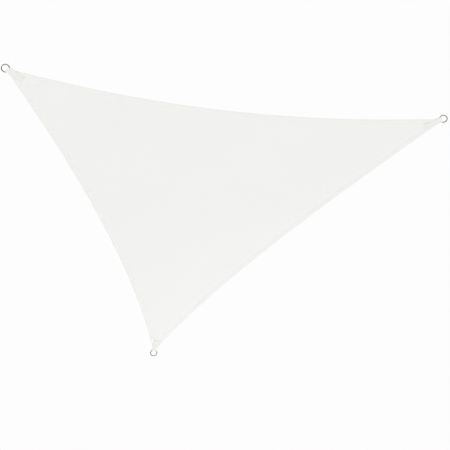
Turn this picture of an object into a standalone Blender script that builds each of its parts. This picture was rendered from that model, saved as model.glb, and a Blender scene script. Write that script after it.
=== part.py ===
"""A triangular shade sail, pulled taut by its three rings, in the shape in which it hangs.

One panel of cloth has three hollow edges with a hem folded under. A folded webbing strap is
sewn over each cut corner, and a welded steel ring sits in the strap's loop. Lengths are in
metres and +Z is up. The two high rings are nearly level, and +X runs along the edge between
them. The sail slopes down towards +Y, to the low ring, whose middle is the origin.
"""

import math
from collections import namedtuple

import bmesh
import bpy
from mathutils import Matrix, Vector

# The whole sail.
RING_SPACING = 3.0  # between the middles of any two rings, with the sail laid flat
SLOPE = math.radians(28.0)  # of the plane that the flat sail lies in

# The cloth.
CLOTH = 0.0012
HEM_WIDTH = 0.030
HEM_LAYERS = 2
TIP_REACH = 0.009  # from a ring's middle out to the tip where two edges would meet
CORNER_CUT = 0.068  # from a ring's middle in to the cut corner of the panel

# How the cloth sags from the plane through its tips.
EDGE_SAG = 0.020  # at the middle of each edge
BELLY_SAG = 0.025  # what the middle of the panel adds to that

# The straps.
WEBBING = 0.0015
STRAP_ON_CLOTH = 0.050  # width
STRAP_IN_RING = 0.038  # width
SEWN_LENGTH = 0.070  # from the cut corner in over the cloth

# The rings.
WIRE = 0.006
RING_INSIDE = 0.045  # diameter

GAP = 0.0003  # between pieces that touch
POCKET_SPARE = 0.0005  # between the ring's wire and the place where the strap starts to bend

# Facets.
PANEL_ROWS = 18  # across each third of the panel
HEM_STEP = 0.003  # over which the hem's second layer ends
STRAP_COLUMNS = 4  # across a strap
SEWN_STEPS = 3
BEND_STEPS = 6
FOLD_STEPS = 8
RING_STEPS = 48
WIRE_STEPS = 10
WELD = 1e-6
CREASE = math.radians(40)  # from which an edge is shaded as a sharp one

Edge = namedtuple("Edge", "start end hollow lean")
Corner = namedtuple("Corner", "name turn bend twist")
Look = namedtuple("Look", "colour roughness metallic")

# The hollow is how far an edge's middle is drawn in, and the lean moves the deepest place
# towards the end (+) or the start (-) of the edge, because the three pulls are uneven.
EDGES = (
    Edge("left", "right", hollow=0.108, lean=-0.03),
    Edge("right", "low", hollow=0.119, lean=0.27),
    Edge("low", "left", hollow=0.119, lean=-0.12),
)

# The uneven pull turns each strap and its ring: first within the cloth's plane, from the
# corner's middle line, then past the cloth by a bend about the strap's fold, towards the
# underside, and by a twist about the strap's length.
CORNERS = (
    Corner("left", math.radians(4), math.radians(-13), math.radians(14)),
    Corner("right", math.radians(7), math.radians(3), math.radians(-25)),
    Corner("low", math.radians(-4.5), math.radians(30), math.radians(6)),
)

LOOKS = {
    "cloth": Look((0.86, 0.865, 0.84), roughness=0.85, metallic=0.0),
    "webbing": Look((0.83, 0.835, 0.81), roughness=0.8, metallic=0.0),
    "steel": Look((0.62, 0.62, 0.61), roughness=0.3, metallic=1.0),
}

HEM = HEM_LAYERS * CLOTH
ACROSS = Vector((1, 0, 0))
UPHILL = Vector((0, -math.cos(SLOPE), math.sin(SLOPE)))
UP = Vector((0, 0, 1))

# The flat sail, in plane coordinates: x across, y uphill from the low ring's middle.
RING_HEIGHT = RING_SPACING * math.sqrt(3) / 2
RINGS = {
    "left": Vector((-RING_SPACING / 2, RING_HEIGHT)),
    "right": Vector((RING_SPACING / 2, RING_HEIGHT)),
    "low": Vector((0, 0)),
}
MIDDLE = Vector((0, RING_HEIGHT * 2 / 3))
OUTWARD = {name: (ring - MIDDLE).normalized() for name, ring in RINGS.items()}
TIPS = {name: ring + OUTWARD[name] * TIP_REACH for name, ring in RINGS.items()}
TIP_SPACING = RING_SPACING + TIP_REACH * math.sqrt(3)
TIP_HEIGHT = TIP_SPACING * math.sqrt(3) / 2

# Two shares of a place have their largest product at the middle of an edge, and three at the
# middle of the panel.
EDGE_PEAK = (1 / 2) ** 2
MIDDLE_PEAK = (1 / 3) ** 3

# The rows of facets along an edge, as shares of the panel's height where it is narrowest: the
# edge itself, the last row with all the hem's layers, and the first row without them.
CLEAR_HEIGHT = TIP_HEIGHT - 2 * sum(edge.hollow for edge in EDGES) / len(EDGES)
HEM_ROWS = (0, HEM_WIDTH / CLEAR_HEIGHT, (HEM_WIDTH + HEM_STEP) / CLEAR_HEIGHT)
PLAIN_ROW = len(HEM_ROWS) - 1

# Along a strap, the reach is counted outwards from the cut corner of the panel.
FOLD_IN_RING = WIRE / 2 + GAP + math.sqrt((RING_INSIDE / 2 - GAP) ** 2 - (STRAP_IN_RING / 2) ** 2)
FOLD_REACH = CORNER_CUT - FOLD_IN_RING
BEND_REACH = CORNER_CUT - (RING_INSIDE / 2 + WIRE + POCKET_SPARE)
LAYER_ON_CLOTH = HEM / 2 + GAP + WEBBING / 2  # from the middle plane to the webbing's own middle
LAYER_IN_RING = WIRE / 2 + GAP + WEBBING / 2


def clear_scene():
    for obj in list(bpy.data.objects):
        bpy.data.objects.remove(obj, do_unlink=True)


def weights_at(place):
    """The shares of the left, right and low tips that make up a place in the plane."""
    height = (place.y + TIP_REACH) / TIP_HEIGHT
    aside = place.x / TIP_SPACING
    return {"left": height / 2 - aside, "right": height / 2 + aside, "low": 1 - height}


def flat_place(weights):
    """The place of those shares on the flat panel, drawn in along its hollow edges."""
    place = sum((TIPS[name] * share for name, share in weights.items()), Vector((0, 0)))
    for edge in EDGES:
        opposite = next(name for name in TIPS if name not in (edge.start, edge.end))
        start, end = weights[edge.start], weights[edge.end]
        depth = edge.hollow * start * end / EDGE_PEAK * (1 + edge.lean * (end - start))
        place += OUTWARD[opposite] * depth
    return place


def hung_place(place):
    """Where a place on the flat panel hangs. It is in the middle of the hem's thickness."""
    left, right, low = weights_at(place).values()
    sag = EDGE_SAG * (left * right + right * low + low * left) / EDGE_PEAK
    sag += BELLY_SAG * left * right * low / MIDDLE_PEAK
    return ACROSS * place.x + UPHILL * place.y - UP * sag


def hung_axes(place, outward, probe=0.001):
    """Unit vectors at a place on the hung cloth: outward, aside, and out of its underside."""
    beside = Vector((-outward.y, outward.x))
    along = hung_place(place + outward * probe) - hung_place(place - outward * probe)
    aside = hung_place(place + beside * probe) - hung_place(place - beside * probe)
    along.normalize()
    under = along.cross(aside).normalized()
    return along, under.cross(along), under


def frame_of(along, aside, under, origin):
    return Matrix.Translation(origin) @ Matrix((along, aside, under)).transposed().to_4x4()


def cut_of(corner):
    """The middle of the panel's cut corner, and the direction that the strap leaves it in."""
    outward = OUTWARD[corner.name]
    return RINGS[corner.name] - outward * CORNER_CUT, Matrix.Rotation(corner.turn, 2) @ outward


def strap_frame(corner, reach):
    """The strap's middle plane at a reach: X outward, Y aside, Z out of the underside."""
    cut, outward = cut_of(corner)
    if reach <= 0:
        place = cut + outward * reach
        return frame_of(*hung_axes(place, outward), hung_place(place))
    share = min(reach / BEND_REACH, 1.0)
    angle = corner.bend * share
    radius = BEND_REACH / corner.bend
    straight = max(reach - BEND_REACH, 0)
    start = frame_of(*hung_axes(cut, outward), hung_place(cut))
    bent = Matrix.Translation((radius * math.sin(angle), 0, radius * (1 - math.cos(angle))))
    bent = bent @ Matrix.Rotation(-angle, 4, "Y") @ Matrix.Rotation(corner.twist * share, 4, "X")
    return start @ bent @ Matrix.Translation((straight, 0, 0))


def ring_frame(corner):
    return strap_frame(corner, CORNER_CUT)


def row_share(row, other):
    """How far in from an edge a row lies, as a share of the height, where it crosses a row
    that is counted from the neighbouring edge."""

    def spread(index, last):
        if index < PLAIN_ROW:
            return HEM_ROWS[index]
        steps = (index - PLAIN_ROW) / (PANEL_ROWS - PLAIN_ROW)
        return HEM_ROWS[PLAIN_ROW] + (last - HEM_ROWS[PLAIN_ROW]) * steps

    return spread(row, (1 - spread(other, 1 / 3)) / 2)


def panel_third(panel, layers, corner, before, after):
    """One third of the flat panel, from a tip to the middle, with rows along both edges."""
    grid = bmesh.ops.create_grid(panel, x_segments=PANEL_ROWS, y_segments=PANEL_ROWS, size=0.5)
    for vert in grid["verts"]:
        row, column = (round((step + 0.5) * PANEL_ROWS) for step in vert.co.xy)
        shares = {before: row_share(row, column), after: row_share(column, row)}
        shares[corner] = 1 - shares[before] - shares[after]
        vert.co.xy = flat_place(shares)
        vert[layers][0] = 1.0 if min(row, column) < PLAIN_ROW else 1 / HEM_LAYERS


def make_cloth():
    """The panel is laid out flat, its corners are cut off, and then it is hung. Its faces look
    up, so that the hem's second layer lies on the underside."""
    panel = bmesh.new()
    layers = panel.verts.layers.deform.verify()
    panel_third(panel, layers, "low", before="left", after="right")
    panel_third(panel, layers, "right", before="low", after="left")
    panel_third(panel, layers, "left", before="right", after="low")
    bmesh.ops.remove_doubles(panel, verts=panel.verts, dist=WELD)
    for corner in CORNERS:
        cut, outward = cut_of(corner)
        bmesh.ops.bisect_plane(
            panel,
            geom=panel.verts[:] + panel.edges[:] + panel.faces[:],
            plane_co=cut.to_3d(),
            plane_no=outward.to_3d(),
            clear_outer=True,
        )
    for vert in panel.verts:
        place = vert.co.xy
        under = hung_axes(place, Vector((1, 0)))[2]
        vert.co = hung_place(place) - under * HEM / 2
    bmesh.ops.recalc_face_normals(panel, faces=panel.faces)
    panel.normal_update()
    if sum(face.normal.z for face in panel.faces) < 0:
        bmesh.ops.reverse_faces(panel, faces=panel.faces)
    cloth = add_object("sail_cloth", panel, "cloth")
    cloth.vertex_groups.new(name="cloth_layers")
    thicken(cloth, HEM, offset=-1, group="cloth_layers")
    return cloth


def strap_path():
    """The webbing's middle, seen from its edge: from the end of its upper leg, round the fold
    in the ring and back, as pairs of reach and depth under the strap's middle plane."""
    leg = [(-SEWN_LENGTH * (1 - step / SEWN_STEPS), LAYER_ON_CLOTH) for step in range(SEWN_STEPS)]
    for step in range(BEND_STEPS + 1):
        share = step / BEND_STEPS
        easing = (1 - math.cos(math.pi * share)) / 2
        depth = LAYER_ON_CLOTH + (LAYER_IN_RING - LAYER_ON_CLOTH) * easing
        leg.append((BEND_REACH * share, depth))
    fold = []
    for step in range(FOLD_STEPS + 1):
        angle = math.pi * step / FOLD_STEPS
        depth = -LAYER_IN_RING * math.cos(angle)
        fold.append((FOLD_REACH + LAYER_IN_RING * math.sin(angle), depth))
    upper_leg = [(reach, -depth) for reach, depth in leg]
    return upper_leg + fold + leg[::-1]


def strap_width(reach):
    share = min(max(reach / BEND_REACH, 0), 1)
    return STRAP_ON_CLOTH + (STRAP_IN_RING - STRAP_ON_CLOTH) * share


def make_strap(corner):
    strap = bmesh.new()
    path = strap_path()
    steps = len(path) - 1
    bmesh.ops.create_grid(strap, x_segments=steps, y_segments=STRAP_COLUMNS, size=0.5)
    for vert in strap.verts:
        reach, depth = path[round((vert.co.x + 0.5) * steps)]
        aside = vert.co.y * strap_width(reach)
        vert.co = strap_frame(corner, reach) @ Vector((0, aside, depth))
    webbing = add_object("corner_strap_" + corner.name, strap, "webbing")
    thicken(webbing, WEBBING, offset=0)
    return webbing


def make_ring(corner):
    bpy.ops.mesh.primitive_torus_add(
        major_radius=(RING_INSIDE + WIRE) / 2,
        minor_radius=WIRE / 2,
        major_segments=RING_STEPS,
        minor_segments=WIRE_STEPS,
    )
    ring = bpy.context.object
    ring.name = "ring_" + corner.name
    ring.matrix_world = ring_frame(corner)
    ring.data.shade_smooth()
    paint(ring, "steel")
    return ring


def add_object(name, shape, look):
    mesh = bpy.data.meshes.new(name)
    shape.to_mesh(mesh)
    shape.free()
    mesh.shade_smooth()
    mesh.set_sharp_from_angle(angle=CREASE)
    obj = bpy.data.objects.new(name, mesh)
    bpy.context.collection.objects.link(obj)
    paint(obj, look)
    return obj


def thicken(obj, thickness, offset, group=""):
    solidify = obj.modifiers.new("thickness", "SOLIDIFY")
    solidify.thickness = thickness
    solidify.offset = offset
    solidify.use_even_offset = True
    solidify.vertex_group = group


def paint(obj, look):
    values = LOOKS[look]
    material = bpy.data.materials.new(obj.name + "_" + look)
    material.use_nodes = True
    shader = material.node_tree.nodes["Principled BSDF"]
    shader.inputs["Base Color"].default_value = (*values.colour, 1)
    shader.inputs["Roughness"].default_value = values.roughness
    shader.inputs["Metallic"].default_value = values.metallic
    material.diffuse_color = (*values.colour, 1)
    obj.data.materials.append(material)


def collect(pieces):
    """The pieces go in a collection of their own, held by an empty that sets the low ring's
    middle on the origin."""
    collection = bpy.data.collections.new("shade_sail")
    bpy.context.scene.collection.children.link(collection)
    holder = bpy.data.objects.new("sail_origin", None)
    collection.objects.link(holder)
    low = next(corner for corner in CORNERS if corner.name == "low")
    holder.location = -ring_frame(low).translation
    for piece in pieces:
        for old in list(piece.users_collection):
            old.objects.unlink(piece)
        collection.objects.link(piece)
        piece.parent = holder


def main():
    clear_scene()
    pieces = [make_cloth()]
    for corner in CORNERS:
        pieces += [make_strap(corner), make_ring(corner)]
    collect(pieces)


main()
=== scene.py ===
"""A triangular shade sail of off-white cloth, pulled taut by a steel ring at each corner.

The panel is hemmed, its corners are cut off, and a strap of webbing is folded through each
ring and sewn over the corner with a box stitch. Lengths are in metres and +Z is up. The low
ring's middle is the origin, and the sail rises towards -Y to the edge between the high rings.
"""

import math
from collections import namedtuple

import bmesh
import bpy
import numpy as np
from mathutils import Matrix, Vector


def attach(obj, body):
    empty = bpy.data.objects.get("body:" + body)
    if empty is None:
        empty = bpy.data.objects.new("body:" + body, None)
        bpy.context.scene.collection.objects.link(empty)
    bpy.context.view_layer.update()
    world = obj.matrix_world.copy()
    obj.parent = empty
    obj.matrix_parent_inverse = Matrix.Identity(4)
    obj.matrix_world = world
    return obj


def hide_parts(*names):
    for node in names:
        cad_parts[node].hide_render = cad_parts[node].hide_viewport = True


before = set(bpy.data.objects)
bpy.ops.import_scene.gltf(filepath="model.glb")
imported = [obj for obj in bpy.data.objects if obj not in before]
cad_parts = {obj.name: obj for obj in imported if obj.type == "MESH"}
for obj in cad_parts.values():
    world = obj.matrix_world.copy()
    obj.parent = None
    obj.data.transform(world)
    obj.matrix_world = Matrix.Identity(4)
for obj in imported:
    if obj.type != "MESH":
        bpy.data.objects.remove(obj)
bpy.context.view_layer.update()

# The whole sail.
RING_SPACING = 3.0  # between the middles of any two rings, with the sail laid flat
SLOPE = math.radians(28.0)  # of the plane that the flat sail lies in

# The cloth.
CLOTH = 0.0012
HEM_LAYERS = 2
HEM = HEM_LAYERS * CLOTH
HEM_WIDTH = 0.030
SEAM_INSET = 0.026  # from the fold of the hem to its row of stitches
TIP_REACH = 0.009  # from a ring's middle out to the tip where two edges would meet
CORNER_CUT = 0.068  # from a ring's middle in to the cut corner of the panel

# How the cloth sags from the plane through its tips.
EDGE_SAG = 0.020  # at the middle of each edge
BELLY_SAG = 0.025  # what the middle of the panel adds to that

# The straps.
WEBBING = 0.0015
STRAP_ON_CLOTH = 0.050  # width
STRAP_IN_RING = 0.038  # width
SEWN_LENGTH = 0.070  # from the cut corner in over the cloth
END_PRESS = 0.0009  # of the lower leg's end, towards the single cloth between the hems
PRESS_START = 0.045  # from the cut corner

# The rings.
WIRE = 0.006
RING_INSIDE = 0.045  # diameter
WELD_ANGLE = math.radians(62)  # round the ring, from the strap's outward direction
WELD_LENGTH = 0.0042  # from its middle to each end
WELD_SWELL = 0.07  # as a share of the wire's thickness

GAP = 0.0003  # between pieces that touch
POCKET_SPARE = 0.0005  # between the ring's wire and the place where the strap starts to bend

Edge = namedtuple("Edge", "start end hollow lean")
Corner = namedtuple("Corner", "name turn bend twist")
HemRow = namedtuple("HemRow", "inset layers drop")
Crease = namedtuple("Crease", "corner angle length width height")
StitchRing = namedtuple("StitchRing", "place girth height")
Lamp = namedtuple("Lamp", "name place target size power")

# The hollow is how far an edge's middle is drawn in, and the lean moves the deepest place
# towards the end (+) or the start (-) of the edge.
EDGES = (
    Edge("left", "right", hollow=0.108, lean=-0.03),
    Edge("right", "low", hollow=0.119, lean=0.27),
    Edge("low", "left", hollow=0.119, lean=-0.12),
)

# The uneven pull turns each strap and its ring: first within the cloth's plane, from the
# corner's middle line, then past the cloth by a bend about the strap's fold, towards the
# underside, and by a twist about the strap's length.
CORNERS = (
    Corner("left", math.radians(4), math.radians(-13), math.radians(14)),
    Corner("right", math.radians(7), math.radians(3), math.radians(-25)),
    Corner("low", math.radians(-4.5), math.radians(30), math.radians(6)),
)

# Rows of the mesh along the hem: the distance from the fold, how many layers thick the cloth
# is there, and how far its upper face drops to round the fold and to sink the seam. The last
# rows are past the hem, where its ripple dies out.
HEM_ROWS = (
    HemRow(0.0, layers=0.7, drop=0.0008),
    HemRow(0.0006, layers=1.5, drop=0.0003),
    HemRow(0.0018, layers=2.0, drop=0.0),
    HemRow(0.0090, layers=2.1, drop=-0.0001),
    HemRow(0.0170, layers=2.1, drop=-0.0001),
    HemRow(0.0235, layers=2.0, drop=0.0001),
    HemRow(SEAM_INSET, layers=1.7, drop=0.0003),
    HemRow(0.0285, layers=1.95, drop=0.0001),
    HemRow(HEM_WIDTH, layers=1.9, drop=0.0),
    HemRow(HEM_WIDTH + 0.0006, layers=1.0, drop=0.0),
    HemRow(0.0405, layers=1.0, drop=0.0),
    HemRow(0.0505, layers=1.0, drop=0.0),
    HemRow(0.0605, layers=1.0, drop=0.0),
)
MOST_LAYERS = max(row.layers for row in HEM_ROWS)

# The pull of the seam makes the hem ripple.
PUCKER_HEIGHT = 0.0004
PUCKER_LENGTH = 0.042
PUCKER_SPREAD = 0.016  # to both sides of the seam
DRIFT_LENGTH = 0.31  # over which the ripples crowd and spread
DRIFT_SHIFT = 2.2  # radians, by which they are shifted at most
DRIFT_START = 20  # radians for each unit of an edge's lean, so that the edges differ

# Soft folds that run in from the corners, at an angle from the corner's middle line.
CREASES = (
    Crease("left", math.radians(-15), length=0.95, width=0.030, height=0.0016),
    Crease("left", math.radians(-3), length=0.70, width=0.024, height=-0.0014),
    Crease("left", math.radians(9), length=0.85, width=0.028, height=0.0012),
    Crease("right", math.radians(-11), length=0.75, width=0.028, height=-0.0013),
    Crease("right", math.radians(2), length=0.60, width=0.022, height=0.0012),
    Crease("right", math.radians(14), length=1.00, width=0.032, height=0.0016),
    Crease("low", math.radians(-12), length=0.80, width=0.028, height=0.0014),
    Crease("low", math.radians(1), length=0.65, width=0.022, height=-0.0013),
    Crease("low", math.radians(12), length=0.90, width=0.030, height=0.0013),
)
CREASE_START = 0.10  # from the ring's middle
CREASE_FULL = 0.25  # from the ring's middle to where a fold has its full height
CREASE_FADE = 1.5  # the power that lowers it from there to its far end
CREASE_NEAR = 0.5  # times its width, at the ring
CREASE_FAR = 2.0  # times its width, at its far end

# Thread.
STITCH_PITCH = 0.0046
STITCH_LENGTH = 0.0037
THREAD = 0.0008
BOX_MARGIN = 0.006  # from the box stitch to the webbing's edges

# A stitch from end to end. The places are in lengths of the stitch from its middle, and the
# girths, and the heights over the cloth, are in radii of the thread.
STITCH_RINGS = (
    StitchRing(-0.38, girth=0.75, height=-0.1),
    StitchRing(0.0, girth=1.0, height=0.35),
    StitchRing(0.38, girth=0.75, height=-0.1),
)
STITCH_DIP = 0.6  # of the two ends into the cloth, in radii of the thread

# Facets.
PANEL_ROWS = 84  # across each third of the panel
HEM_CUTS = 2  # extra ones along the hem, between two crossing rows
STRAP_SIDES = 28
STRAP_FLATNESS = 6  # the power that flattens the webbing's section
STRAP_PINCH = 0.25  # how far the section's flat part is drawn in from its round edges
STRAP_STEP = 0.0018
FOLD_STEPS = 20
RING_STEPS = 160
WIRE_STEPS = 28
STITCH_SIDES = 5
MERGE = 1e-6  # between points that are taken for one
CREASE_ANGLE = math.radians(40)

ACROSS = Vector((1, 0, 0))
UPHILL = Vector((0, -math.cos(SLOPE), math.sin(SLOPE)))
UP = Vector((0, 0, 1))

# The flat sail, in plane coordinates: x across, y uphill from the low ring's middle.
RING_HEIGHT = RING_SPACING * math.sqrt(3) / 2
RINGS = {
    "left": Vector((-RING_SPACING / 2, RING_HEIGHT)),
    "right": Vector((RING_SPACING / 2, RING_HEIGHT)),
    "low": Vector((0, 0)),
}
MIDDLE = Vector((0, RING_HEIGHT * 2 / 3))
OUTWARD = {name: (ring - MIDDLE).normalized() for name, ring in RINGS.items()}
TIPS = {name: ring + OUTWARD[name] * TIP_REACH for name, ring in RINGS.items()}
TIP_SPACING = RING_SPACING + TIP_REACH * math.sqrt(3)
TIP_HEIGHT = TIP_SPACING * math.sqrt(3) / 2
CLEAR_HEIGHT = TIP_HEIGHT - 2 * sum(edge.hollow for edge in EDGES) / len(EDGES)
EDGE_PEAK = (1 / 2) ** 2  # the largest product of two shares
MIDDLE_PEAK = (1 / 3) ** 3  # the largest product of three shares

# Along a strap, the reach is counted outwards from the cut corner of the panel.
FOLD_IN_RING = WIRE / 2 + GAP + math.sqrt((RING_INSIDE / 2 - GAP) ** 2 - (STRAP_IN_RING / 2) ** 2)
FOLD_REACH = CORNER_CUT - FOLD_IN_RING
BEND_REACH = CORNER_CUT - (RING_INSIDE / 2 + WIRE + POCKET_SPARE)
LAYER_ON_CLOTH = HEM / 2 + GAP + WEBBING / 2  # from the middle plane to the webbing's own middle
LAYER_IN_RING = WIRE / 2 + GAP + WEBBING / 2


# ---- Where things are -------------------------------------------------------------------


def weights_at(place):
    """The shares of the left, right and low tips that make up a place in the plane."""
    height = (place.y + TIP_REACH) / TIP_HEIGHT
    aside = place.x / TIP_SPACING
    return {"left": height / 2 - aside, "right": height / 2 + aside, "low": 1 - height}


def opposite(edge):
    """The corner that faces an edge."""
    return next(name for name in TIPS if name not in (edge.start, edge.end))


def flat_place(shares):
    """The place of those shares on the flat panel, drawn in along its hollow edges."""
    place = sum((TIPS[name] * share for name, share in shares.items()), Vector((0, 0)))
    for edge in EDGES:
        start, end = shares[edge.start], shares[edge.end]
        depth = edge.hollow * start * end / EDGE_PEAK * (1 + edge.lean * (end - start))
        place += OUTWARD[opposite(edge)] * depth
    return place


def hung_place(place):
    """Where a place on the flat panel hangs. It is in the middle of the hem's thickness."""
    left, right, low = weights_at(place).values()
    sag = EDGE_SAG * (left * right + right * low + low * left) / EDGE_PEAK
    sag += BELLY_SAG * left * right * low / MIDDLE_PEAK
    return ACROSS * place.x + UPHILL * place.y - UP * sag + SHIFT


def hung_axes(place, outward, probe=0.001):
    """Unit vectors at a place on the hung cloth: outward, aside, and out of its underside."""
    beside = Vector((-outward.y, outward.x))
    along = hung_place(place + outward * probe) - hung_place(place - outward * probe)
    aside = hung_place(place + beside * probe) - hung_place(place - beside * probe)
    along.normalize()
    under = along.cross(aside).normalized()
    return along, under.cross(along), under


def frame_of(along, aside, under, origin):
    """The frame with those three axes, as a matrix."""
    return Matrix.Translation(origin) @ Matrix((along, aside, under)).transposed().to_4x4()


def cut_of(corner):
    """The middle of the panel's cut corner, and the direction that the strap leaves it in."""
    outward = OUTWARD[corner.name]
    return RINGS[corner.name] - outward * CORNER_CUT, Matrix.Rotation(corner.turn, 2) @ outward


def strap_frame(corner, reach):
    """The strap's middle plane at a reach: X outward, Y aside, Z out of the underside."""
    cut, outward = cut_of(corner)
    if reach <= 0:
        place = cut + outward * reach
        return frame_of(*hung_axes(place, outward), hung_place(place))
    share = min(reach / BEND_REACH, 1.0)
    angle = corner.bend * share
    radius = BEND_REACH / corner.bend
    straight = max(reach - BEND_REACH, 0)
    start = frame_of(*hung_axes(cut, outward), hung_place(cut))
    bent = Matrix.Translation((radius * math.sin(angle), 0, radius * (1 - math.cos(angle))))
    bent = bent @ Matrix.Rotation(-angle, 4, "Y") @ Matrix.Rotation(corner.twist * share, 4, "X")
    return start @ bent @ Matrix.Translation((straight, 0, 0))


def ring_frame(corner):
    return strap_frame(corner, CORNER_CUT)


def shift_to_origin():
    """What brings the low ring's middle to the origin."""
    low = next(corner for corner in CORNERS if corner.name == "low")
    return -ring_frame(low).translation


SHIFT = Vector((0, 0, 0))
SHIFT = shift_to_origin()


# ---- The cloth --------------------------------------------------------------------------


def smooth_step(low, high, value):
    share = min(max((value - low) / (high - low), 0), 1)
    return share * share * (3 - 2 * share)


def crease_height(place):
    """How far the soft folds lift the cloth at a place on the flat panel."""
    height = 0
    for crease in CREASES:
        line = Matrix.Rotation(crease.angle, 2) @ -OUTWARD[crease.corner]
        offset = place - RINGS[crease.corner]
        reach = offset.dot(line)
        if not 0 < reach < crease.length:
            continue
        far = reach / crease.length
        width = crease.width * (CREASE_NEAR + (CREASE_FAR - CREASE_NEAR) * far)
        aside = (offset - line * reach).length / width
        rise = smooth_step(CREASE_START, CREASE_FULL, reach) * (1 - far) ** CREASE_FADE
        height += crease.height * rise * math.exp(-aside * aside)
    return height


def pucker_height(shares):
    """How far the hem ripples at a place of those shares."""
    height = 0
    for edge in EDGES:
        inset = shares[opposite(edge)] * CLEAR_HEIGHT
        near = math.exp(-(((inset - SEAM_INSET) / PUCKER_SPREAD) ** 2))
        along = shares[edge.end] * TIP_SPACING
        start = edge.lean * DRIFT_START
        drift = DRIFT_SHIFT * math.sin(along * math.tau / DRIFT_LENGTH + start)
        height += PUCKER_HEIGHT * near * math.sin(along * math.tau / PUCKER_LENGTH + drift)
    return height


def hem_row_at(inset):
    """The layers and the drop of the cloth at a distance from the fold of the hem."""
    insets = [row.inset for row in HEM_ROWS]
    layers = np.interp(inset, insets, [row.layers for row in HEM_ROWS])
    drop = np.interp(inset, insets, [row.drop for row in HEM_ROWS])
    return float(layers), float(drop)


def upper_face(place, shares):
    """A place on the upper face of the cloth, and the direction out of its underside."""
    under = hung_axes(place, Vector((1, 0)))[2]
    drop = hem_row_at(min(shares.values()) * CLEAR_HEIGHT)[1]
    lift = HEM / 2 - drop + crease_height(place) + pucker_height(shares)
    return hung_place(place) - under * lift, under


def row_share(row, other):
    """How far in from an edge a row lies, as a share of the height, where it crosses a row
    that is counted from the neighbouring edge."""
    insets = [hem_row.inset / CLEAR_HEIGHT for hem_row in HEM_ROWS]
    last_row = len(insets) - 1

    def spread(index, last):
        if index < last_row:
            return insets[index]
        steps = (index - last_row) / (PANEL_ROWS - last_row)
        return insets[last_row] + (last - insets[last_row]) * steps

    return spread(row, (1 - spread(other, 1 / 3)) / 2)


def panel_third(panel, layers, corner, before, after):
    """One third of the flat panel, from a tip to the middle, with rows along both edges."""
    grid = bmesh.ops.create_grid(panel, x_segments=PANEL_ROWS, y_segments=PANEL_ROWS, size=0.5)
    for vert in grid["verts"]:
        row, column = (round((step + 0.5) * PANEL_ROWS) for step in vert.co.xy)
        shares = {before: row_share(row, column), after: row_share(column, row)}
        shares[corner] = 1 - shares[before] - shares[after]
        vert.co.xy = flat_place(shares)
        for name, share in shares.items():
            vert[layers[name]] = share


def flat_panel():
    """The flat panel with its corners cut off, and the layers that hold its shares."""
    panel = bmesh.new()
    layers = {name: panel.verts.layers.float.new(name) for name in TIPS}
    panel_third(panel, layers, "low", before="left", after="right")
    panel_third(panel, layers, "right", before="low", after="left")
    panel_third(panel, layers, "left", before="right", after="low")
    bmesh.ops.remove_doubles(panel, verts=panel.verts, dist=MERGE)
    for corner in CORNERS:
        cut, outward = cut_of(corner)
        bmesh.ops.bisect_plane(
            panel,
            geom=panel.verts[:] + panel.edges[:] + panel.faces[:],
            plane_co=cut.to_3d(),
            plane_no=outward.to_3d(),
            clear_outer=True,
        )
    return panel, layers


def refine_hem(panel, layers):
    """Extra rows across the hem, so that it can ripple."""
    hem_share = (HEM_ROWS[-1].inset + MERGE) / CLEAR_HEIGHT
    along_hem = []
    for edge in panel.edges:
        first, second = edge.verts
        for name in layers.values():
            level = abs(first[name] - second[name]) < MERGE
            if level and first[name] < hem_share:
                along_hem.append(edge)
                break
    bmesh.ops.subdivide_edges(panel, edges=along_hem, cuts=HEM_CUTS, use_grid_fill=True)


def make_sail():
    panel, layers = flat_panel()
    refine_hem(panel, layers)
    thickness = panel.verts.layers.deform.verify()
    inset_layer = panel.verts.layers.float.new("inset")
    for vert in panel.verts:
        shares = {name: vert[layers[name]] for name in layers}
        inset = min(shares.values()) * CLEAR_HEIGHT
        vert[thickness][0] = hem_row_at(inset)[0] / MOST_LAYERS
        vert[inset_layer] = inset
        vert.co = upper_face(vert.co.xy, shares)[0]
    bmesh.ops.recalc_face_normals(panel, faces=panel.faces)
    panel.normal_update()
    if sum(face.normal.z for face in panel.faces) < 0:
        bmesh.ops.reverse_faces(panel, faces=panel.faces)
    sail = add_piece("sail_panel", panel)
    sail.vertex_groups.new(name="cloth_layers")
    solidify = sail.modifiers.new("thickness", "SOLIDIFY")
    solidify.thickness = MOST_LAYERS * CLOTH
    solidify.offset = -1
    solidify.vertex_group = "cloth_layers"
    return sail


# ---- Thread -----------------------------------------------------------------------------


def stitch_shape():
    """One stitch, along X and arched over Z, as points and faces. Its ends dip in the cloth."""
    radius = THREAD / 2
    dip = -STITCH_DIP * radius
    points = [(-STITCH_LENGTH / 2, 0, dip)]
    for ring in STITCH_RINGS:
        for side in range(STITCH_SIDES):
            angle = math.tau * side / STITCH_SIDES
            across = ring.girth * math.cos(angle)
            over = ring.height + ring.girth * math.sin(angle)
            points.append((ring.place * STITCH_LENGTH, across * radius, over * radius))
    points.append((STITCH_LENGTH / 2, 0, dip))
    last = len(points) - 1
    faces = []
    for side in range(STITCH_SIDES):
        beside = (side + 1) % STITCH_SIDES
        faces.append((0, 1 + beside, 1 + side))
        for first in range(1, last - STITCH_SIDES, STITCH_SIDES):
            second = first + STITCH_SIDES
            faces.append((first + side, first + beside, second + beside, second + side))
        faces.append((last - STITCH_SIDES + side, last - STITCH_SIDES + beside, last))
    return np.array(points), faces


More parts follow.
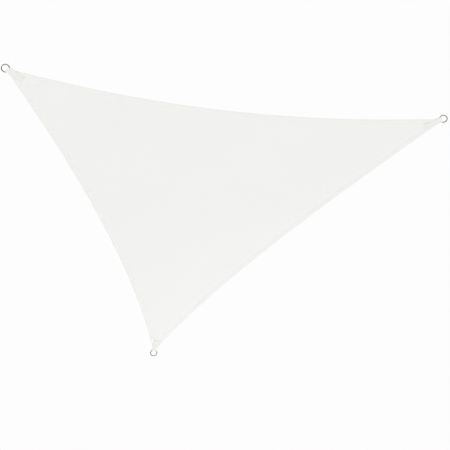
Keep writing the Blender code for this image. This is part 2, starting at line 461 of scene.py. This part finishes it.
def make_stitches(name, spots):
    """A joined piece of a stitch at each spot: its middle, its direction and the way out."""
    points, faces = stitch_shape()
    all_points, all_faces = [], []
    for index, (middle, along, out) in enumerate(spots):
        along = (along - out * along.dot(out)).normalized()
        axes = np.array((along, out.cross(along), out))
        all_points.append(points @ axes + np.array(middle))
        all_faces += [tuple(corner + index * len(points) for corner in face) for face in faces]
    mesh = bpy.data.meshes.new(name)
    mesh.from_pydata(np.concatenate(all_points).tolist(), [], all_faces)
    mesh.shade_smooth()
    piece = bpy.data.objects.new(name, mesh)
    bpy.context.scene.collection.objects.link(piece)
    return piece


def make_hem_seam(edge):
    """The row of stitches along one hem, on both faces of the cloth."""
    inset_share = SEAM_INSET / CLEAR_HEIGHT
    thickness = hem_row_at(SEAM_INSET)[0] * CLOTH
    ends = (CORNER_CUT + TIP_REACH) / TIP_SPACING
    run = 1 - 2 * ends
    count = round(run * TIP_SPACING / STITCH_PITCH)
    upper_row, lower_row = [], []
    for step in range(count + 1):
        start = ends + (run - inset_share) * (1 - step / count)
        shares = {edge.start: start, opposite(edge): inset_share}
        shares[edge.end] = 1 - start - inset_share
        upper, under = upper_face(flat_place(shares), shares)
        upper_row.append((upper, -under))
        lower_row.append((upper + under * thickness, under))
    spots = []
    for row in (upper_row, lower_row):
        for (here, out), (there, _) in zip(row, row[1:]):
            spots.append(((here + there) / 2, there - here, out))
    return make_stitches(f"hem_seam_{edge.start}_{edge.end}", spots)


def make_box_stitch(corner):
    """A box with a cross in it, on both faces of the strap where it is sewn to the cloth."""
    aside = STRAP_ON_CLOTH / 2 - BOX_MARGIN
    near, far = -BOX_MARGIN, -SEWN_LENGTH + BOX_MARGIN
    box = [(near, aside), (far, aside), (far, -aside), (near, -aside), (near, aside)]
    runs = list(zip(box, box[1:])) + [(box[0], box[2]), (box[1], box[3])]
    depth = LAYER_ON_CLOTH + WEBBING / 2
    spots = []
    for start, end in runs:
        start, end = Vector(start), Vector(end)
        count = round((end - start).length / STITCH_PITCH)
        for side in (-1, 1):
            row = []
            for step in range(count + 1):
                reach, across = start.lerp(end, step / count)
                press = strap_press(reach) if side > 0 else 0
                row.append(strap_frame(corner, reach) @ Vector((0, across, side * depth - press)))
            out = strap_frame(corner, start.x).col[2].to_3d() * side
            spots += [((here + there) / 2, there - here, out) for here, there in zip(row, row[1:])]
    return make_stitches(f"box_stitch_{corner.name}", spots)


# ---- Straps and rings -------------------------------------------------------------------


def strap_path():
    """The webbing's middle, seen from its edge: from the end of its upper leg, round the fold
    in the ring and back, as pairs of reach and depth under the strap's middle plane."""
    leg = []
    steps = round(SEWN_LENGTH / STRAP_STEP)
    for step in range(steps):
        leg.append((-SEWN_LENGTH * (1 - step / steps), LAYER_ON_CLOTH))
    steps = round(BEND_REACH / STRAP_STEP)
    for step in range(steps + 1):
        easing = (1 - math.cos(math.pi * step / steps)) / 2
        depth = LAYER_ON_CLOTH + (LAYER_IN_RING - LAYER_ON_CLOTH) * easing
        leg.append((BEND_REACH * step / steps, depth))
    steps = round((FOLD_REACH - BEND_REACH) / STRAP_STEP)
    for step in range(1, steps):
        leg.append((BEND_REACH + (FOLD_REACH - BEND_REACH) * step / steps, LAYER_IN_RING))
    fold = []
    for step in range(FOLD_STEPS + 1):
        angle = math.pi * step / FOLD_STEPS
        depth = -LAYER_IN_RING * math.cos(angle)
        fold.append((FOLD_REACH + LAYER_IN_RING * math.sin(angle), depth))
    upper_leg = [(reach, -depth) for reach, depth in leg]
    lower_leg = [(reach, depth - strap_press(reach)) for reach, depth in leg[::-1]]
    return [Vector(point) for point in upper_leg + fold + lower_leg]


def strap_press(reach):
    """How far the strap's lower leg is pressed towards the cloth, between the two hems."""
    return END_PRESS * (1 - smooth_step(-SEWN_LENGTH, -PRESS_START, reach))


def strap_width(reach):
    share = min(max(reach / BEND_REACH, 0), 1)
    return STRAP_ON_CLOTH + (STRAP_IN_RING - STRAP_ON_CLOTH) * share


def strap_section():
    """The webbing's section with its round edges: its place across, in half widths, and out
    from its middle, in half thicknesses."""
    section = []
    for side in range(STRAP_SIDES):
        angle = math.tau * side / STRAP_SIDES
        across, over = math.cos(angle), math.sin(angle)
        share = abs(across)
        reach = share ** (1 / STRAP_FLATNESS) * (1 - STRAP_PINCH * (1 - share))
        section.append((math.copysign(reach, across), over))
    return section


def make_strap(corner):
    """The webbing as one band with round edges, swept along its path."""
    path = strap_path()
    section = strap_section()
    band = bmesh.new()
    weave_map = band.loops.layers.uv.new("webbing")
    rows, places = [], {}
    length = 0
    for index, point in enumerate(path):
        before, after = path[max(index - 1, 0)], path[min(index + 1, len(path) - 1)]
        length += (point - before).length
        forward = (after - before).normalized()
        out = Vector((-forward.y, forward.x))
        row = []
        for across, over in section:
            reach, depth = point + out * over * WEBBING / 2
            aside = across * strap_width(reach) / 2
            vert = band.verts.new(strap_frame(corner, reach) @ Vector((0, aside, depth)))
            places[vert] = (aside, length)
            row.append(vert)
        rows.append(row)
    for row, next_row in zip(rows, rows[1:]):
        for side in range(STRAP_SIDES):
            beside = (side + 1) % STRAP_SIDES
            band.faces.new((row[side], row[beside], next_row[beside], next_row[side]))
    band.faces.new(rows[0][::-1])
    band.faces.new(rows[-1])
    for face in band.faces:
        for loop in face.loops:
            loop[weave_map].uv = places[loop.vert]
    bmesh.ops.recalc_face_normals(band, faces=band.faces)
    return add_piece("webbing_" + corner.name, band)


def make_ring(corner):
    """A ring of round wire with the small swelling of its weld."""
    radius = (RING_INSIDE + WIRE) / 2
    bpy.ops.mesh.primitive_torus_add(
        major_radius=radius,
        minor_radius=WIRE / 2,
        major_segments=RING_STEPS,
        minor_segments=WIRE_STEPS,
    )
    ring = bpy.context.object
    ring.name = "steel_ring_" + corner.name
    for vert in ring.data.vertices:
        angle = math.atan2(vert.co.y, vert.co.x)
        middle = Vector((math.cos(angle), math.sin(angle), 0)) * radius
        off_weld = (angle - WELD_ANGLE) * radius / WELD_LENGTH
        swell = 1 + WELD_SWELL * math.exp(-(off_weld**4))
        vert.co = middle + (vert.co - middle) * swell
    ring.matrix_world = ring_frame(corner)
    ring.data.shade_smooth()
    return ring


def add_piece(name, shape):
    mesh = bpy.data.meshes.new(name)
    shape.to_mesh(mesh)
    shape.free()
    mesh.shade_smooth()
    mesh.set_sharp_from_angle(angle=CREASE_ANGLE)
    piece = bpy.data.objects.new(name, mesh)
    bpy.context.scene.collection.objects.link(piece)
    return piece


# ---- Finishes ---------------------------------------------------------------------------


def set_inputs(tree, node, inputs):
    """Sets a node's inputs to values, or feeds them from other nodes' outputs."""
    for name, value in inputs.items():
        if isinstance(value, bpy.types.NodeSocket):
            tree.links.new(value, node.inputs[name])
        else:
            node.inputs[name].default_value = value
    return node


def add_node(tree, kind, inputs=None, **settings):
    node = tree.nodes.new("ShaderNode" + kind)
    for name, value in settings.items():
        setattr(node, name, value)
    return set_inputs(tree, node, inputs or {})


def calculate(tree, operation, first, second=0.0, third=0.0):
    inputs = {0: first, 1: second, 2: third}
    return add_node(tree, "Math", inputs, operation=operation).outputs[0]


def between(tree, share, start, end):
    """A value that goes from the start to the end as the share goes from 0 to 1."""
    return calculate(tree, "MULTIPLY_ADD", share, end - start, start)


def add_tones(tree, base, *layers):
    """A tone: the base, and on top of it each layer's mask times its strength."""
    tone = base
    for mask, strength in layers:
        tone = calculate(tree, "MULTIPLY_ADD", mask, strength, tone)
    return tone


def new_group(name, inputs, outputs):
    """A shader node group with named sockets, its tree and its input and output nodes."""
    tree = bpy.data.node_groups.new(name, "ShaderNodeTree")
    for socket, (kind, value) in inputs.items():
        made = tree.interface.new_socket(socket, in_out="INPUT", socket_type="NodeSocket" + kind)
        if value is not None:
            made.default_value = value
    for socket in outputs:
        tree.interface.new_socket(socket, in_out="OUTPUT", socket_type="NodeSocketFloat")
    return tree, tree.nodes.new("NodeGroupInput").outputs, tree.nodes.new("NodeGroupOutput").inputs


def plain_weave():
    """Threads that cross over and under. Height is the relief of the threads, and Tone the
    uneven shade of single threads, from -1 to 1."""
    slub_width = 2.0  # pitches
    tree, given, result = new_group(
        "plain_weave",
        {
            "Place": ("Vector", None),
            "Across Pitch": ("Float", 0.001),
            "Along Pitch": ("Float", 0.001),
            "Slub Length": ("Float", 0.06),
        },
        ("Height", "Tone"),
    )
    place = add_node(tree, "SeparateXYZ", {0: given["Place"]}).outputs
    waves = []
    for axis, pitch in (("X", "Across Pitch"), ("Y", "Along Pitch")):
        turns = calculate(tree, "DIVIDE", place[axis], given[pitch])
        waves.append(calculate(tree, "SINE", calculate(tree, "MULTIPLY", turns, math.pi)))
    crossing = calculate(tree, "MULTIPLY", waves[0], waves[1])
    tree.links.new(between(tree, crossing, 0.5, 1.0), result["Height"])
    slubs = []
    for fine, long, pitch in (("X", "Y", "Across Pitch"), ("Y", "X", "Along Pitch")):
        width = calculate(tree, "MULTIPLY", given[pitch], slub_width)
        fine_place = calculate(tree, "DIVIDE", place[fine], width)
        long_place = calculate(tree, "DIVIDE", place[long], given["Slub Length"])
        at = add_node(tree, "CombineXYZ", {"X": fine_place, "Y": long_place}).outputs[0]
        noise = add_node(tree, "TexNoise", {"Vector": at, "Scale": 1.0, "Detail": 1.0})
        slubs.append(noise.outputs["Fac"])
    tone = calculate(tree, "SUBTRACT", calculate(tree, "ADD", slubs[0], slubs[1]), 1.0)
    tree.links.new(tone, result["Tone"])
    return tree


def soft_clouds():
    """Broad, faint unevenness of a surface. Tone goes from about -1 to 1."""
    tree, given, result = new_group(
        "soft_clouds", {"Place": ("Vector", None), "Size": ("Float", 0.4)}, ("Tone",)
    )
    scale = calculate(tree, "DIVIDE", 1.0, given["Size"])
    noise = add_node(tree, "TexNoise", {"Vector": given["Place"], "Scale": scale, "Detail": 3.0})
    tree.links.new(between(tree, noise.outputs["Fac"], -1.0, 1.0), result["Tone"])
    return tree


def polish_marks():
    """Fine marks of polishing. Height is their relief and Dullness where they lie thick."""
    patch_size = 12.0  # times the size of the marks
    tree, given, result = new_group(
        "polish_marks",
        {"Place": ("Vector", None), "Size": ("Float", 0.0004)},
        ("Height", "Dullness"),
    )
    fine = calculate(tree, "DIVIDE", 1.0, given["Size"])
    marks = add_node(tree, "TexNoise", {"Vector": given["Place"], "Scale": fine, "Detail": 2.0})
    broad = calculate(tree, "DIVIDE", fine, patch_size)
    patches = add_node(tree, "TexNoise", {"Vector": given["Place"], "Scale": broad, "Detail": 2.0})
    tree.links.new(marks.outputs["Fac"], result["Height"])
    tree.links.new(patches.outputs["Fac"], result["Dullness"])
    return tree


def use_group(tree, group, inputs):
    """The outputs of a shared node group, fed with those inputs."""
    node = tree.nodes.new("ShaderNodeGroup")
    node.node_tree = group
    return set_inputs(tree, node, inputs).outputs


def new_material(name):
    """A material, its tree and its shader."""
    material = bpy.data.materials.new(name)
    material.use_nodes = True
    tree = material.node_tree
    return material, tree, tree.nodes["Principled BSDF"]


def shade_surface(tree, shader, colour, tone, relief):
    """Gives a surface a colour that is multiplied by a tone, and a bump of that relief: its
    height, its depth in metres and its strength."""
    height, depth, strength = relief
    shaded = add_node(tree, "VectorMath", {0: colour, "Scale": tone}, operation="SCALE")
    bump = add_node(tree, "Bump", {"Height": height, "Distance": depth, "Strength": strength})
    set_inputs(tree, shader, {"Base Color": shaded.outputs[0], "Normal": bump.outputs[0]})


def near_line(tree, inset, line, width):
    """A soft mask of the cloth near a line along the hem: 1 on it, and 0 beyond the width."""
    away = calculate(tree, "ABSOLUTE", calculate(tree, "SUBTRACT", inset, line))
    fade = {"Value": away, "From Max": width, "To Min": 1.0, "To Max": 0.0}
    return add_node(tree, "MapRange", fade, interpolation_type="SMOOTHSTEP").outputs[0]


def fabric_material(groups):
    """Off-white polyester cloth: a close plain weave, a faint sheen and a softly uneven tone.
    The fold of the hem is painted a little greyer, painted shade where the cloth rounds over it.
    Along the hem's inner edge a lighter band is painted light: it lifts the shade that falls at
    the hem's step and stands for the light that thin cloth lets through there."""
    material, tree, shader = new_material("sail_fabric")
    at = add_node(tree, "TexCoord").outputs["Object"]
    at = add_node(tree, "Mapping", {"Vector": at, "Rotation": (SLOPE, 0, 0)}).outputs[0]
    threads = {"Place": at, "Across Pitch": 0.0011, "Along Pitch": 0.0011, "Slub Length": 0.09}
    weave = use_group(tree, groups["plain_weave"], threads)
    clouds = use_group(tree, groups["soft_clouds"], {"Place": at, "Size": 0.55})
    inset = add_node(tree, "Attribute", attribute_name="inset").outputs["Fac"]
    tone = add_tones(
        tree,
        1.0,
        (weave["Tone"], 0.03),
        (clouds["Tone"], 0.012),
        # Painted light: a lighter band along the hem's inner edge that lifts the shade falling at
        # the step there.
        (near_line(tree, inset, line=HEM_WIDTH, width=0.009), 0.035),
        # Painted shade: the cloth is darker towards the fold of the hem, where it rounds over.
        (near_line(tree, inset, line=0.0, width=0.010), -0.05),
    )
    colour = (0.918, 0.925, 0.899)
    shade_surface(tree, shader, colour, tone, relief=(weave["Height"], 0.0002, 0.5))
    finish = {
        "Roughness": between(tree, weave["Height"], 0.88, 0.80),
        "Specular IOR Level": 0.25,
        "Sheen Weight": 0.08,
        "Sheen Roughness": 0.5,
    }
    set_inputs(tree, shader, finish)
    return material


def webbing_material(groups):
    """Off-white woven webbing, with coarser threads than the cloth."""
    material, tree, shader = new_material("strap_webbing")
    at = add_node(tree, "UVMap", uv_map="webbing").outputs[0]
    threads = {"Place": at, "Across Pitch": 0.0016, "Along Pitch": 0.0011, "Slub Length": 0.03}
    weave = use_group(tree, groups["plain_weave"], threads)
    clouds = use_group(tree, groups["soft_clouds"], {"Place": at, "Size": 0.03})
    # The raised threads are painted lighter than the hollows between them: painted shade in the
    # weave's hollows.
    tone = add_tones(
        tree, 0.985, (weave["Tone"], 0.04), (weave["Height"], 0.035), (clouds["Tone"], 0.02)
    )
    colour = (0.895, 0.901, 0.870)
    shade_surface(tree, shader, colour, tone, relief=(weave["Height"], 0.0004, 0.55))
    finish = {
        "Roughness": between(tree, weave["Height"], 0.84, 0.74),
        "Specular IOR Level": 0.3,
        "Sheen Weight": 0.1,
    }
    set_inputs(tree, shader, finish)
    return material


def thread_material(groups):
    """Twisted sewing thread, a little darker than the cloth."""
    material, tree, shader = new_material("sewing_thread")
    at = add_node(tree, "TexCoord").outputs["Object"]
    clouds = use_group(tree, groups["soft_clouds"], {"Place": at, "Size": 0.02})
    fibres = {"Vector": at, "Scale": 2500.0, "Detail": 1.0}
    twist = add_node(tree, "TexNoise", fibres).outputs["Fac"]
    tone = add_tones(tree, 0.97, (clouds["Tone"], 0.05), (twist, 0.06))
    shade_surface(tree, shader, (0.87, 0.876, 0.842), tone, relief=(twist, 0.0002, 0.4))
    set_inputs(tree, shader, {"Roughness": 0.6})
    return material


def steel_material(groups):
    """Polished stainless wire with fine marks, a little duller in patches."""
    material, tree, shader = new_material("ring_steel")
    at = add_node(tree, "TexCoord").outputs["Object"]
    marks = use_group(tree, groups["polish_marks"], {"Place": at, "Size": 0.0005})
    tone = between(tree, marks["Dullness"], 1.06, 0.94)
    shade_surface(tree, shader, (0.52, 0.52, 0.515), tone, relief=(marks["Height"], 0.00002, 0.3))
    finish = {"Roughness": between(tree, marks["Dullness"], 0.14, 0.30), "Metallic": 1.0}
    set_inputs(tree, shader, finish)
    return material


# ---- Stage ------------------------------------------------------------------------------

FLOOR_MIDDLE = (0, -1.2, -2.6)
FLOOR_SIDES = 96
FLOOR_RADIUS = 14.0
FLOOR_WHOLE = 4.0  # radius within which the floor is all there
FLOOR_GONE = 11.2  # radius from which it is clear

CAMERA_PLACE = Vector((-2.199, -9.831, -2.262))
CAMERA_TURN = math.radians(-15.81)
CAMERA_PITCH = math.radians(18.29)  # upwards
LENS = 104.0  # mm
SENSOR = 36.0  # mm
FARTHEST_VIEW = 100.0

BACKDROP = 0.982  # brightness of the room where the camera sees it
ROOM_LIGHT = 0.992  # brightness of the light that the room gives
DARKEST_WALL = 0.03  # share of the room's light that the polished steel mirrors
LIGHTEST_WALL = 1.0
WALLS_DARK_BELOW = 0.51  # level of the noise that spreads the dark and light walls
WALLS_LIGHT_ABOVE = 0.65
WALL_PATTERN = 0.0  # which one of the noise's patterns
WALL_SCALE = 1.8

# A large soft lamp above and in front of the sail, and a small one under it.
LAMPS = (
    Lamp("key_lamp", place=(-3.0, -5.0, 7.0), target=(0, -1.2, 0.6), size=5.0, power=12.0),
    Lamp("low_lamp", place=(0.8, -0.5, -1.7), target=(0, -0.5, 0.3), size=1.2, power=2.2),
)


def make_floor():
    """A pale floor that fades out into the backdrop. It is clear when seen from below, and for
    what the polished steel mirrors, so that the rings mirror the walls all round."""
    bpy.ops.mesh.primitive_circle_add(
        vertices=FLOOR_SIDES, radius=FLOOR_RADIUS, fill_type="NGON", location=FLOOR_MIDDLE
    )
    floor = bpy.context.object
    floor.name = "floor"
    material, tree, shader = new_material("pale_floor")
    paint = {"Base Color": (0.95, 0.95, 0.95, 1), "Roughness": 0.9, "Specular IOR Level": 0.1}
    set_inputs(tree, shader, paint)
    at = add_node(tree, "TexCoord").outputs["Object"]
    away = add_node(tree, "VectorMath", {0: at}, operation="LENGTH").outputs["Value"]
    reach = {"Value": away, "From Min": FLOOR_WHOLE, "From Max": FLOOR_GONE}
    fade = add_node(tree, "MapRange", reach, interpolation_type="SMOOTHSTEP").outputs[0]
    behind = add_node(tree, "NewGeometry").outputs["Backfacing"]
    mirrored = add_node(tree, "LightPath").outputs["Is Glossy Ray"]
    clear = calculate(tree, "MAXIMUM", calculate(tree, "MAXIMUM", fade, behind), mirrored)
    nothing = add_node(tree, "BsdfTransparent").outputs[0]
    mix = add_node(tree, "MixShader", {0: clear, 1: shader.outputs[0], 2: nothing})
    tree.links.new(mix.outputs[0], tree.nodes["Material Output"].inputs["Surface"])
    floor.data.materials.append(material)


def light_room():
    """An even white room. For the polished steel alone it has dark and light walls."""
    scene = bpy.context.scene
    scene.world = bpy.data.worlds.new("white_room")
    scene.world.use_nodes = True
    tree = scene.world.node_tree
    tree.nodes.clear()
    rays = add_node(tree, "LightPath").outputs
    towards = add_node(tree, "TexCoord").outputs["Generated"]
    noise = {"Vector": towards, "W": WALL_PATTERN, "Scale": WALL_SCALE, "Detail": 0.0}
    walls = add_node(tree, "TexNoise", noise, noise_dimensions="4D")
    shades = {
        "Value": walls.outputs["Fac"],
        "From Min": WALLS_DARK_BELOW,
        "From Max": WALLS_LIGHT_ABOVE,
        "To Min": DARKEST_WALL,
        "To Max": LIGHTEST_WALL,
    }
    shade = add_node(tree, "MapRange", shades).outputs[0]
    off_white = calculate(tree, "SUBTRACT", shade, 1.0)
    share = calculate(tree, "MULTIPLY_ADD", rays["Is Glossy Ray"], off_white, 1.0)
    strength = calculate(tree, "MULTIPLY", share, ROOM_LIGHT)
    room = add_node(tree, "Background", {"Color": (1, 1, 1, 1), "Strength": strength})
    backdrop = add_node(tree, "Background", {"Color": (1, 1, 1, 1), "Strength": BACKDROP})
    lights = {0: rays["Is Camera Ray"], 1: room.outputs[0], 2: backdrop.outputs[0]}
    mix = add_node(tree, "MixShader", lights)
    add_node(tree, "OutputWorld", {"Surface": mix.outputs[0]})
    scene.view_settings.view_transform = "Standard"
    scene.view_settings.look = "None"


def add_lamp(lamp):
    light = bpy.data.lights.new(lamp.name, "AREA")
    light.shape = "DISK"
    light.size = lamp.size
    light.energy = lamp.power
    holder = bpy.data.objects.new(lamp.name, light)
    holder.location = lamp.place
    towards = Vector(lamp.target) - Vector(lamp.place)
    holder.rotation_euler = towards.to_track_quat("-Z", "Y").to_euler()
    holder.visible_camera = False
    bpy.context.scene.collection.objects.link(holder)


def set_camera():
    camera = bpy.data.cameras.new("camera")
    camera.lens = LENS
    camera.sensor_width = SENSOR
    camera.clip_end = FARTHEST_VIEW
    holder = bpy.data.objects.new("camera", camera)
    holder.location = CAMERA_PLACE
    holder.rotation_euler = (math.pi / 2 + CAMERA_PITCH, 0, CAMERA_TURN)
    bpy.context.scene.collection.objects.link(holder)
    bpy.context.scene.camera = holder


# ---- All together -----------------------------------------------------------------------


def dress(piece, material, slot, *nodes):
    """Gives a piece its finish, its body and the nodes that it stands for."""
    piece.data.materials.clear()
    piece.data.materials.append(material)
    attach(piece, "root")
    if nodes:
        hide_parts(*nodes)
    return piece


groups = {
    "plain_weave": plain_weave(),
    "soft_clouds": soft_clouds(),
    "polish_marks": polish_marks(),
}
fabric = fabric_material(groups)
webbing = webbing_material(groups)
thread = thread_material(groups)
steel = steel_material(groups)

set_camera()
light_room()
for lamp in LAMPS:
    add_lamp(lamp)
make_floor()

sail = dress(make_sail(), fabric, "sail_fabric", "sail_cloth")
hem_seams = [dress(make_hem_seam(edge), thread, "sail_fabric") for edge in EDGES]
for corner in CORNERS:
    strap = dress(make_strap(corner), webbing, "strap_webbing", "corner_strap_" + corner.name)
    box_stitch = dress(make_box_stitch(corner), thread, "strap_webbing")
    dress(make_ring(corner), steel, "ring_steel", "ring_" + corner.name)
